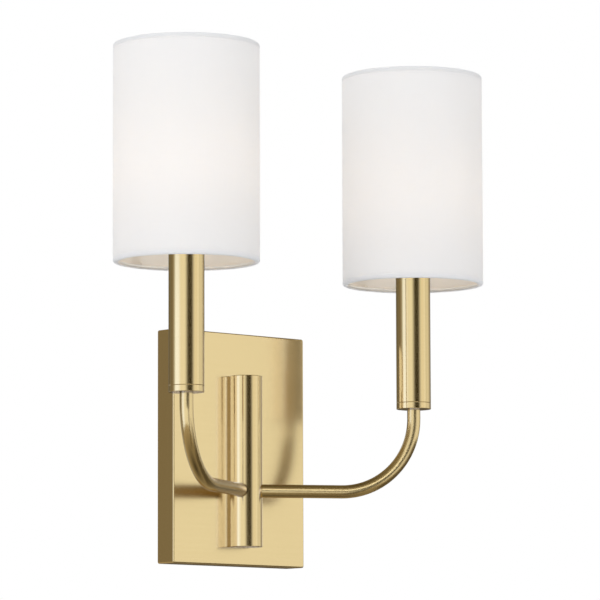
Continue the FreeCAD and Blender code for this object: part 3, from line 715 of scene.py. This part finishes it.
def grip_ribs():
    """Ribs along a taper, set evenly round it; the taper starts at its foot and runs along X."""
    tree, given, result = start_group(
        "Grip ribs", "GeometryNodeTree",
        [("Count", "NodeSocketInt", RIB_COUNT), ("Run", "NodeSocketFloat", None),
         ("Foot radius", "NodeSocketFloat", None),
         ("Tip radius", "NodeSocketFloat", CONNECTOR_TIP_RADIUS),
         ("Rib radius", "NodeSocketFloat", RIB_RADIUS), ("Foot", "NodeSocketVector", None),
         ("Finish", "NodeSocketMaterial", None)],
        [("Geometry", "NodeSocketGeometry")],
    )
    spine = add_node(tree, "GeometryNodeCurvePrimitiveLine",
                     {"Start": combine(tree, 0.0, 0.0, given["Foot radius"]),
                      "End": combine(tree, given["Run"], 0.0, given["Tip radius"])})
    section = add_node(tree, "GeometryNodeCurvePrimitiveCircle",
                       {"Resolution": RIB_SIDES, "Radius": given["Rib radius"]})
    rib = add_node(tree, "GeometryNodeCurveToMesh",
                   {"Curve": spine.outputs[0], "Profile Curve": section.outputs[0], "Fill Caps": True})
    spots = add_node(tree, "GeometryNodePoints", {"Count": given["Count"], "Position": given["Foot"]})
    number = add_node(tree, "GeometryNodeInputIndex").outputs[0]
    turn = calculate(tree, "DIVIDE", calculate(tree, "MULTIPLY", number, math.tau), given["Count"])
    ring = add_node(tree, "GeometryNodeInstanceOnPoints",
                    {"Points": spots.outputs[0], "Instance": rib.outputs[0],
                     "Rotation": combine(tree, turn, 0.0)})
    end_tree(tree, given, result, ring.outputs[0])
    return tree


GRIP_RIBS = grip_ribs()


def connector_ribs(name):
    """The ribs of one wire connector, whose mouth faces the middle of the plate."""
    low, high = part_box(name)
    middle = (low + high) / 2
    towards = math.copysign(1.0, middle.x)
    mouth = min(low.x * towards, high.x * towards)
    foot = Vector((towards * (mouth + CONNECTOR_SKIRT), middle.y, middle.z))
    run = towards * (high.x - low.x - CONNECTOR_SKIRT)
    values = {"Count": RIB_COUNT, "Run": run, "Foot radius": (high.z - low.z) / 2,
              "Tip radius": CONNECTOR_TIP_RADIUS, "Rib radius": RIB_RADIUS, "Foot": foot,
              "Finish": CONNECTOR_PLASTIC}
    ribs = grow(f"{name}_ribs", GRIP_RIBS, values)
    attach(ribs, "sconce")


for name in ("live_connector", "neutral_connector"):
    connector_ribs(name)


# Light of the bulbs

def bulb_light(side):
    """The light of one bulb, at the middle of its filaments; the clear glass throws no shadow of it."""
    low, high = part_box(f"{side}_bulb_filaments")
    lamp = bpy.data.lights.new(f"{side}_bulb_light", "POINT")
    lamp.color = BULB_LIGHT
    lamp.energy = BULB_POWER
    lamp.shadow_soft_size = (high.z - low.z) / 4
    made = bpy.data.objects.new(lamp.name, lamp)
    bpy.context.scene.collection.objects.link(made)
    made.location = (low + high) / 2
    made.visible_camera = False
    made.visible_glossy = False
    for piece in ("glass", "mount", "filaments"):
        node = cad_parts[f"{side}_bulb_{piece}"]
        node.visible_shadow = False
        node.visible_glossy = False


for side in SIDES:
    bulb_light(side)


# Studio

def direction(azimuth, elevation):
    """A unit vector from the object towards a place in the studio, from angles in radians."""
    level = math.cos(elevation)
    return Vector((math.sin(azimuth) * level, -math.cos(azimuth) * level, math.sin(elevation)))


def opaque(colour):
    """A colour of three parts with full alpha, as colour sockets take it."""
    return (*colour, 1.0)


def start_glow(name):
    """An empty material for a card, and how far across and up the card a place is."""
    material = bpy.data.materials.new(name)
    material.use_nodes = True
    tree = material.node_tree
    tree.nodes.clear()
    place = add_node(tree, "ShaderNodeUVMap").outputs[0]
    return material, tree, add_node(tree, "ShaderNodeSeparateXYZ", {0: place}).outputs


def mirrored(tree, times):
    """1 where a card is mirrored that many times or more between shiny parts, else 0."""
    bounces = add_node(tree, "ShaderNodeLightPath").outputs["Ray Depth"]
    return calculate(tree, "GREATER_THAN", bounces, times - 0.5)


def at_eye_level(tree, height):
    """1 at the elevations where mirrored light gains, else 0; the height is a share of the wall's."""
    low, high = ((rise - WALL_RISE[0]) / (WALL_RISE[1] - WALL_RISE[0]) for rise in MIRRORED_RISE)
    off_middle = calculate(tree, "SUBTRACT", height, (low + high) / 2)
    return calculate(tree, "LESS_THAN", calculate(tree, "ABSOLUTE", off_middle), (high - low) / 2)


def wall_glow():
    """The glow of the studio wall, with a gain or loss where shiny parts mirror it one after the other."""
    material, tree, place = start_glow("studio_wall")
    ramp = add_node(tree, "ShaderNodeValToRGB", {0: place["X"]})
    stops = ramp.color_ramp.elements
    stops[0].color = opaque(STUDIO_WALL[0][1])
    stops[1].color = opaque(STUDIO_WALL[-1][1])
    for azimuth, colour in STUDIO_WALL[1:-1]:
        stops.new((azimuth + 180) / 360).color = opaque(colour)
    level_gain = blend_colours(tree, mirrored(tree, 3), opaque(MIRRORED_GAIN), opaque(CREVICE_GAIN))
    level = at_eye_level(tree, place["Y"])
    mirrored_gain = blend_colours(tree, level, opaque(MIRRORED_LOSS), level_gain)
    gain = blend_colours(tree, mirrored(tree, 2), opaque(WHITE), mirrored_gain)
    colour = add_node(tree, "ShaderNodeMix", {0: 1.0, 6: ramp.outputs[0], 7: gain}, data_type="RGBA",
                      blend_type="MULTIPLY").outputs[2]
    glow = add_node(tree, "ShaderNodeEmission", {"Color": colour})
    add_node(tree, "ShaderNodeOutputMaterial", {"Surface": glow.outputs[0]})
    return material


def fading_glow(name, low_colour, high_colour):
    """The glow of a card that changes from its lower to its upper edge."""
    material, tree, place = start_glow(name)
    colour = blend_colours(tree, place["Y"], opaque(low_colour), opaque(high_colour))
    glow = add_node(tree, "ShaderNodeEmission", {"Color": colour})
    add_node(tree, "ShaderNodeOutputMaterial", {"Surface": glow.outputs[0]})
    return material


def soft_glow(name, colour):
    """The glow of a card that fades out at its sides and isn't mirrored twice."""
    material, tree, place = start_glow(name)
    edge = calculate(tree, "PINGPONG", place["X"], 0.5)
    inside = add_node(tree, "ShaderNodeMapRange", {"Value": edge, "From Max": SOFT_SHARE},
                      interpolation_type="SMOOTHSTEP").outputs[0]
    shown = calculate(tree, "MULTIPLY", inside, calculate(tree, "SUBTRACT", 1.0, mirrored(tree, 2)))
    glow = add_node(tree, "ShaderNodeEmission", {"Color": opaque(colour)})
    clear = add_node(tree, "ShaderNodeBsdfTransparent")
    both = add_node(tree, "ShaderNodeMixShader", {0: shown, 1: clear.outputs[0], 2: glow.outputs[0]})
    add_node(tree, "ShaderNodeOutputMaterial", {"Surface": both.outputs[0]})
    return material


def card(material, azimuths, elevations, distance):
    """A curved card around the object that only its shiny parts mirror."""
    middle = (cad_low + cad_high) / 2
    first_turn, last_turn = (math.radians(angle) for angle in azimuths)
    first_rise, last_rise = (math.radians(angle) for angle in elevations)
    columns = max(1, round((last_turn - first_turn) / CARD_STEP))
    rows = max(1, round((last_rise - first_rise) / CARD_STEP))
    points = []
    for row in range(rows + 1):
        rise = first_rise + (last_rise - first_rise) * row / rows
        for column in range(columns + 1):
            turn = first_turn + (last_turn - first_turn) * column / columns
            points.append(middle + distance * direction(turn, rise))
    faces = []
    for row in range(rows):
        for column in range(columns):
            corner = row * (columns + 1) + column
            faces.append((corner, corner + 1, corner + columns + 2, corner + columns + 1))
    mesh = bpy.data.meshes.new(material.name)
    mesh.from_pydata(points, [], faces)
    map_layer = mesh.uv_layers.new(name="UVMap")
    for corner in mesh.loops:
        row, column = divmod(corner.vertex_index, columns + 1)
        map_layer.data[corner.index].uv = (column / columns, row / rows)
    mesh.materials.append(material)
    made = bpy.data.objects.new(material.name, mesh)
    bpy.context.scene.collection.objects.link(made)
    made.visible_camera = False
    made.visible_diffuse = False
    made.visible_shadow = False
    made.visible_transmission = False


def mirrored_studio():
    """Everything around the object that its shiny parts mirror."""
    all_round = (-180, 180)
    card(wall_glow(), all_round, WALL_RISE, WALL_DISTANCE)
    card(fading_glow("studio_ceiling", *CEILING_COLOURS), all_round, (WALL_RISE[1], 90), WALL_DISTANCE)
    card(fading_glow("studio_ground", *GROUND_COLOURS), all_round, (-90, WALL_RISE[0]), WALL_DISTANCE)
    for number, (name, (azimuths, elevations, colour)) in enumerate(SOFT_CARDS.items()):
        distance = SOFT_CARD_DISTANCE - number * SOFT_CARD_SPACING
        card(soft_glow(name, colour), azimuths, elevations, distance)


def white_world():
    """White for what the camera, metal and glass see, and an even soft light on everything else."""
    world = bpy.data.worlds.new("studio")
    world.use_nodes = True
    tree = world.node_tree
    tree.nodes.clear()
    path = add_node(tree, "ShaderNodeLightPath").outputs
    shown = calculate(tree, "MAXIMUM", path["Is Camera Ray"], path["Is Glossy Ray"])
    shown = calculate(tree, "MAXIMUM", shown, path["Is Transmission Ray"])
    strength = blend_values(tree, shown, AMBIENT, 1.0)
    white = add_node(tree, "ShaderNodeBackground", {"Color": opaque(WHITE), "Strength": strength})
    add_node(tree, "ShaderNodeOutputWorld", {"Surface": white.outputs[0]})
    bpy.context.scene.world = world


def key_light():
    """A large soft lamp that faces the object and doesn't show in the metal."""
    way = direction(KEY_AZIMUTH, KEY_ELEVATION)
    lamp = bpy.data.lights.new("key_light", "AREA")
    lamp.size = KEY_WIDTH
    lamp.energy = KEY_POWER
    made = bpy.data.objects.new("key_light", lamp)
    bpy.context.scene.collection.objects.link(made)
    made.location = (cad_low + cad_high) / 2 + KEY_DISTANCE * way
    made.rotation_euler = way.to_track_quat("Z", "Y").to_euler()
    made.visible_glossy = False


def pale_floor():
    """A plain pale floor well below the sconce that fades out far away; from underneath it is clear."""
    half = FLOOR_HALF_WIDTH
    height = cad_low.z - FLOOR_DROP
    corners = [(-half, -half, height), (half, -half, height), (half, half, height), (-half, half, height)]
    mesh = bpy.data.meshes.new("floor")
    mesh.from_pydata(corners, [], [(0, 1, 2, 3)])
    material, tree, shader, output = start_material("floor")
    shader["Base Color"].default_value = FLOOR_GREY
    shader["Roughness"].default_value = 0.9
    clear = add_node(tree, "ShaderNodeBsdfTransparent")
    below = add_node(tree, "ShaderNodeNewGeometry").outputs["Backfacing"]
    place = add_node(tree, "ShaderNodeTexCoord").outputs["Object"]
    away = add_node(tree, "ShaderNodeVectorMath", {0: place}, operation="LENGTH").outputs["Value"]
    near_edge, far_edge = FLOOR_FADE
    far = add_node(tree, "ShaderNodeMapRange",
                   {"Value": away, "From Min": near_edge, "From Max": far_edge},
                   interpolation_type="SMOOTHSTEP").outputs[0]
    principled = output["Surface"].links[0].from_socket
    gone = calculate(tree, "MAXIMUM", below, far)
    ground = add_node(tree, "ShaderNodeMixShader", {0: gone, 1: principled, 2: clear.outputs[0]})
    feed(tree, output["Surface"], ground.outputs[0])
    mesh.materials.append(material)
    floor = bpy.data.objects.new("floor", mesh)
    bpy.context.scene.collection.objects.link(floor)
    floor.visible_glossy = False


def photo_camera():
    """The camera at the photograph's viewing angle."""
    forward = direction(math.pi - CAMERA_YAW, CAMERA_PITCH)
    level_right = Vector((math.cos(CAMERA_YAW), -math.sin(CAMERA_YAW), 0.0))
    level_up = level_right.cross(forward)
    right = math.cos(CAMERA_ROLL) * level_right + math.sin(CAMERA_ROLL) * level_up
    up = math.cos(CAMERA_ROLL) * level_up - math.sin(CAMERA_ROLL) * level_right
    lens = bpy.data.cameras.new("photo_camera")
    lens.sensor_width = SENSOR_WIDTH
    lens.lens = CAMERA_LENS
    camera = bpy.data.objects.new("photo_camera", lens)
    bpy.context.scene.collection.objects.link(camera)
    turned = Matrix((right, up, -forward)).transposed()
    camera.matrix_world = Matrix.Translation(CAMERA_PLACE) @ turned.to_4x4()
    bpy.context.scene.camera = camera


white_world()
mirrored_studio()
key_light()
pale_floor()
photo_camera()
bpy.context.scene.view_settings.view_transform = "Standard"
